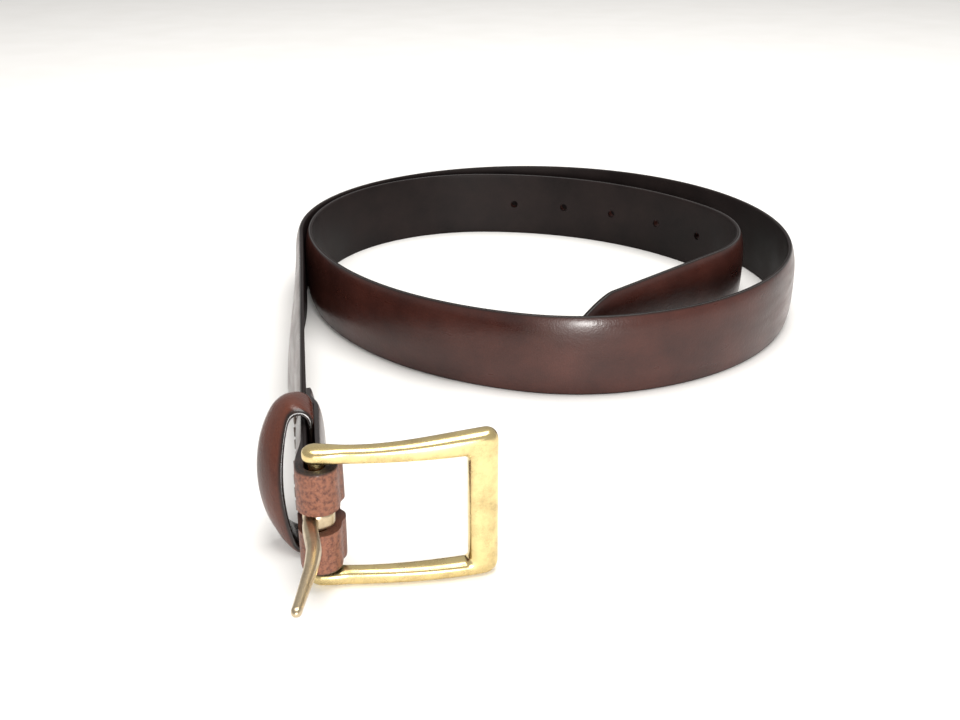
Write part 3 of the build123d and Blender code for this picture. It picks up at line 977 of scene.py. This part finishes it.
@dataclass
class BuckleFrame:
    """Two arms and a front bar in one casting: a squared-off ellipse between an inner and outer outline."""

    spot: AtBar
    metal: bpy.types.Material
    reach: float = 46.8
    gap: float = 32.0
    height: float = 40.6
    front_width: float = 8.2
    arm_thickness: float = 5.2
    arch_radius: float = 125.0
    boss: float = 3.5
    inner_corner: float = 1.6
    outer_corner: float = 3.2
    flare: float = 2.2
    deeper: float = 1.4

    def outline(self, end: float, half: float, corner: float) -> Array:
        """One side of the bow in its upright plane.

        Args:
            end: how far it reaches from the bar.
            half: its height over mid height.
            corner: the corner's radius.
        Returns:
            Points from the lower arm's heel, round the front bar, to the upper arm's heel.
        """
        heel = self.boss * np.sin(np.linspace(-np.pi / 2, 0.0, 14))[:-1] * 0.9995
        arm = np.concatenate([heel, np.linspace(0.0, end - corner, 40)[:-1]])
        turn = np.linspace(0.0, np.pi / 2, 15)[:-1]
        bar = np.linspace(-(half - corner), 0.0, 22)
        lower = np.concatenate([
            np.stack([arm, np.full_like(arm, -half)], axis=-1),
            np.stack([end - corner + corner * np.sin(turn), -half + corner - corner * np.cos(turn)], axis=-1),
            np.stack([np.full_like(bar, end), bar], axis=-1),
        ])
        upper = lower[::-1][1:] * np.array([1.0, -1.0])
        return np.concatenate([lower, upper])

    def build(self) -> None:
        """Builds the bow."""
        inner = self.outline(self.reach - self.front_width, self.gap / 2, self.inner_corner)
        outer = self.outline(self.reach, self.height / 2, self.outer_corner)
        toward_front = smoothstep(outer[:, 0], self.reach * 0.2, self.reach)
        outer[:, 1] += np.clip(outer[:, 1] / 8.0, 0.0, 1.0) * self.flare * toward_front
        heel = np.clip(-inner[:, 0] / self.boss, 0.0, 1.0)
        drawn = np.sqrt(np.maximum(1.0 - heel**2, 0.0))
        middle = (inner + outer) / 2
        half = (outer - inner) / 2 * np.maximum(drawn[:, None], 0.02) ** 0.6
        swell = (2 * self.boss - self.arm_thickness) * (1.0 - smoothstep(inner[:, 0], 0.0, 7.0))
        thick = np.where(inner[:, 0] < 0, 2 * self.boss * np.maximum(drawn, 0.02), self.arm_thickness + swell)
        thick = thick + self.deeper * smoothstep(inner[:, 0], self.reach * 0.2, self.reach * 0.8)
        phi = np.linspace(0.0, 2 * np.pi, 41)[:-1]
        across = signed_power(np.cos(phi), 0.74)
        through = signed_power(np.sin(phi), 0.74)
        plane = middle[:, None, :] + half[:, None, :] * across[None, :, None]
        centre = self.reach / 2
        rise = np.sqrt(self.arch_radius**2 - centre**2)
        arch = rise - np.sqrt(self.arch_radius**2 - (plane[..., 0] - centre) ** 2)
        y = np.where(plane[..., 0] < 0, 0.0, arch) + through[None, :] * thick[:, None] / 2
        local = np.stack([plane[..., 0], y, plane[..., 1] + MID_BUCKLE], axis=-1)
        piece = tube(self.spot.out(local), closed=False).mesh("buckle_bow")
        face_outwards(piece)
        piece.data.materials.append(self.metal)
        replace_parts(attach(piece, "buckle"), "buckle_frame")


@dataclass
class Prong:
    """The tongue: a collar round the bar and a tapered shaft with a long, shallow S."""

    spot: AtBar
    metal: bpy.types.Material
    reach: float = 42.0
    height: float = 4.4
    thickness: float = 4.1
    tip_height: float = 2.5
    tip_thickness: float = 2.5
    collar_wall: float = 2.15
    sway: tuple[tuple[float, float], ...] = (
        (0.0, -1.6), (5.0, -1.8), (9.0, -1.0), (16.0, 0.7), (24.0, 0.9), (33.0, 0.3), (42.0, -0.3),
    )

    def shaft(self) -> Shell:
        """The tapered shaft: the sway smoothed by a short bell of weights, ended as an ellipse."""
        x = self.reach * np.sin(np.linspace(0.0, np.pi / 2, 120)) * 0.9999
        fine = np.linspace(-8.0, self.reach + 8.0, 1200)
        knots = np.array(self.sway)
        raw = np.interp(fine, knots[:, 0], knots[:, 1])
        bell = np.exp(-(((np.arange(-90, 91) * (fine[1] - fine[0])) / 2.2) ** 2))
        y = np.interp(x, fine, np.convolve(raw, bell / bell.sum(), mode="same"))
        share = smoothstep(x, 8.0, self.reach)
        nose = np.sqrt(np.clip(1.0 - (np.clip(x - (self.reach - 1.6), 0.0, None) / 1.6) ** 2, 4e-4, 1.0))
        half_up = (self.height + (self.tip_height - self.height) * share) / 2 * nose
        half_through = (self.thickness + (self.tip_thickness - self.thickness) * share) / 2 * nose
        phi = np.linspace(0.0, 2 * np.pi, 37)[:-1]
        side = signed_power(np.cos(phi), 0.8)
        up = signed_power(np.sin(phi), 0.8)
        local = np.stack([
            np.broadcast_to(x[:, None], (len(x), len(phi))),
            y[:, None] + half_through[:, None] * side,
            MID_BUCKLE + half_up[:, None] * up,
        ], axis=-1)
        return tube(self.spot.out(local), closed=False)

    def collar(self) -> Shell:
        """The ring round the bar: a squared-off ellipse turned about the bar's axis."""
        turn = np.linspace(0.0, 2 * np.pi, 73)[:-1]
        phi = np.linspace(0.0, 2 * np.pi, 29)[:-1]
        wide = self.collar_wall * (1.0 + 0.05 * np.cos(5 * turn + 0.7))
        radius = BAR_WRAP_RADIUS + 0.03 + wide[:, None] / 2 * (1.0 + signed_power(np.cos(phi), 0.62))
        up = self.height / 2 * signed_power(np.sin(phi), 0.62) * (1.0 + 0.05 * np.cos(3 * turn))[:, None]
        x, y = radius * np.cos(turn)[:, None], radius * np.sin(turn)[:, None]
        local = np.stack([x, y, MID_BUCKLE + up], axis=-1)
        return tube(self.spot.out(local), closed=True)

    def build(self) -> None:
        """Builds the tongue as two objects, its shaft and its collar."""
        shaft, collar = self.shaft(), self.collar()
        pieces = []
        for name, shell in (("prong_shaft", shaft), ("prong_collar", collar)):
            piece = shell.mesh(name)
            face_outwards(piece)
            piece.data.materials.append(self.metal)
            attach(piece, "prong")
            pieces.append(piece)
        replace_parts(pieces[0], "prong")


@dataclass
class Hardware:
    """The rigid pieces that are shown as they were drawn, with their own finish."""

    finishes: dict[str, tuple[bpy.types.Material, str]]

    def build(self) -> None:
        """Repaints each node."""
        for name, (finish, slot) in self.finishes.items():
            node = frame["nodes"][name]
            node.data.materials.clear()
            node.data.materials.append(finish)
            log.info("%s: kept, with %s", name, finish.name)


# ---- the set -------------------------------------------------------------------------
@dataclass
class Studio:
    """A pale floor, soft light from above and from beside the camera, and the camera."""

    floor: bpy.types.Material
    lens: float = 42.0
    eye: Triple = (-0.0263, -0.3891, 0.1758)
    pitch: float = 24.18

    def lamp(self, name: str, place: Triple, aim: Triple, size: float, power: float, tint: Triple) -> None:
        """A square soft light.

        Args:
            name: its name.
            place: where it is, in metres.
            aim: what it faces.
            size: its side.
            power: in watts.
            tint: its colour.
        """
        data = bpy.data.lights.new(name, "AREA")
        data.size, data.energy, data.color = size, power, tint
        lamp = bpy.data.objects.new(name, data)
        lamp.location = place
        lamp.rotation_euler = (Vector(aim) - Vector(place)).to_track_quat("-Z", "Y").to_euler()
        bpy.context.scene.collection.objects.link(lamp)

    def build(self) -> None:
        """Builds the set and points the camera."""
        scene = bpy.context.scene
        mesh = bpy.data.meshes.new("floor")
        side = 6.0
        corners = [(-side, -side, 0), (side, -side, 0), (side, side, 0), (-side, side, 0)]
        mesh.from_pydata(corners, [], [(0, 1, 2, 3)])
        mesh.materials.append(self.floor)
        floor = bpy.data.objects.new("floor", mesh)
        scene.collection.objects.link(floor)
        world = bpy.data.worlds.new("soft room")
        world.use_nodes = True
        world.node_tree.nodes["Background"].inputs[0].default_value = (1.0, 0.99, 0.975, 1.0)
        world.node_tree.nodes["Background"].inputs[1].default_value = 0.55
        scene.world = world
        scene.view_settings.view_transform = "Standard"
        self.lamp("over", (0.10, 0.10, 1.3), (0.0, 0.05, 0.0), 0.9, 19.0, (1.0, 0.985, 0.96))
        self.lamp("beside_camera", (0.10, -0.85, 0.20), (0.0, 0.0, 0.03), 0.13, 6.5, (1.0, 0.985, 0.96))
        camera = bpy.data.objects.new("camera", bpy.data.cameras.new("camera"))
        camera.data.lens = self.lens
        camera.data.sensor_width = 36.0
        camera.data.clip_start = 0.01
        camera.location = self.eye
        camera.rotation_euler = (np.radians(90.0 - self.pitch), 0.0, 0.0)
        scene.collection.objects.link(camera)
        scene.camera = camera


def main() -> None:
    """Builds the belt from the strap outwards, then the set."""
    logging.basicConfig(level=logging.INFO, format="%(name)s: %(message)s")
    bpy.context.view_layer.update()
    pins = {joint["name"]: joint["pos_m"] for joint in frame["joints"]}
    bar = (pins["buckle_swing"][0] / MM, pins["buckle_swing"][1] / MM)
    grain = GrainLeather().build()
    keeper_grain = GrainLeather(
        name="keeper leather", dark=(0.024, 0.0062, 0.0046), light=(0.088, 0.0200, 0.0090), roughness=0.25
    ).build()
    brass = Metal("satin brass", (0.80, 0.64, 0.31), (0.34, 0.25, 0.12)).build()
    bronze = Metal("aged bronze", (0.56, 0.46, 0.31), (0.24, 0.18, 0.12), 0.28).build()
    steel = Metal("staple steel", (0.55, 0.55, 0.56), (0.25, 0.24, 0.23), 0.35).build()
    Strap(StrapRoute(bar), {Layer.GRAIN: grain, Layer.LINING: LiningLeather().build()}).build()
    Keeper(AtBar(bar, LEAD_HEADING), keeper_grain).build()
    BuckleFrame(AtBar(bar, FRAME_HEADING), brass).build()
    Prong(AtBar(bar, PRONG_HEADING), bronze).build()
    Hardware({
        "heel_bar": (brass, "brass"),
        "keeper_staple": (steel, "staple_steel"),
        "stitches": (WaxedThread().build(), "thread"),
    }).build()
    Studio(Paper().build()).build()


if __name__ == "__main__":
    main()
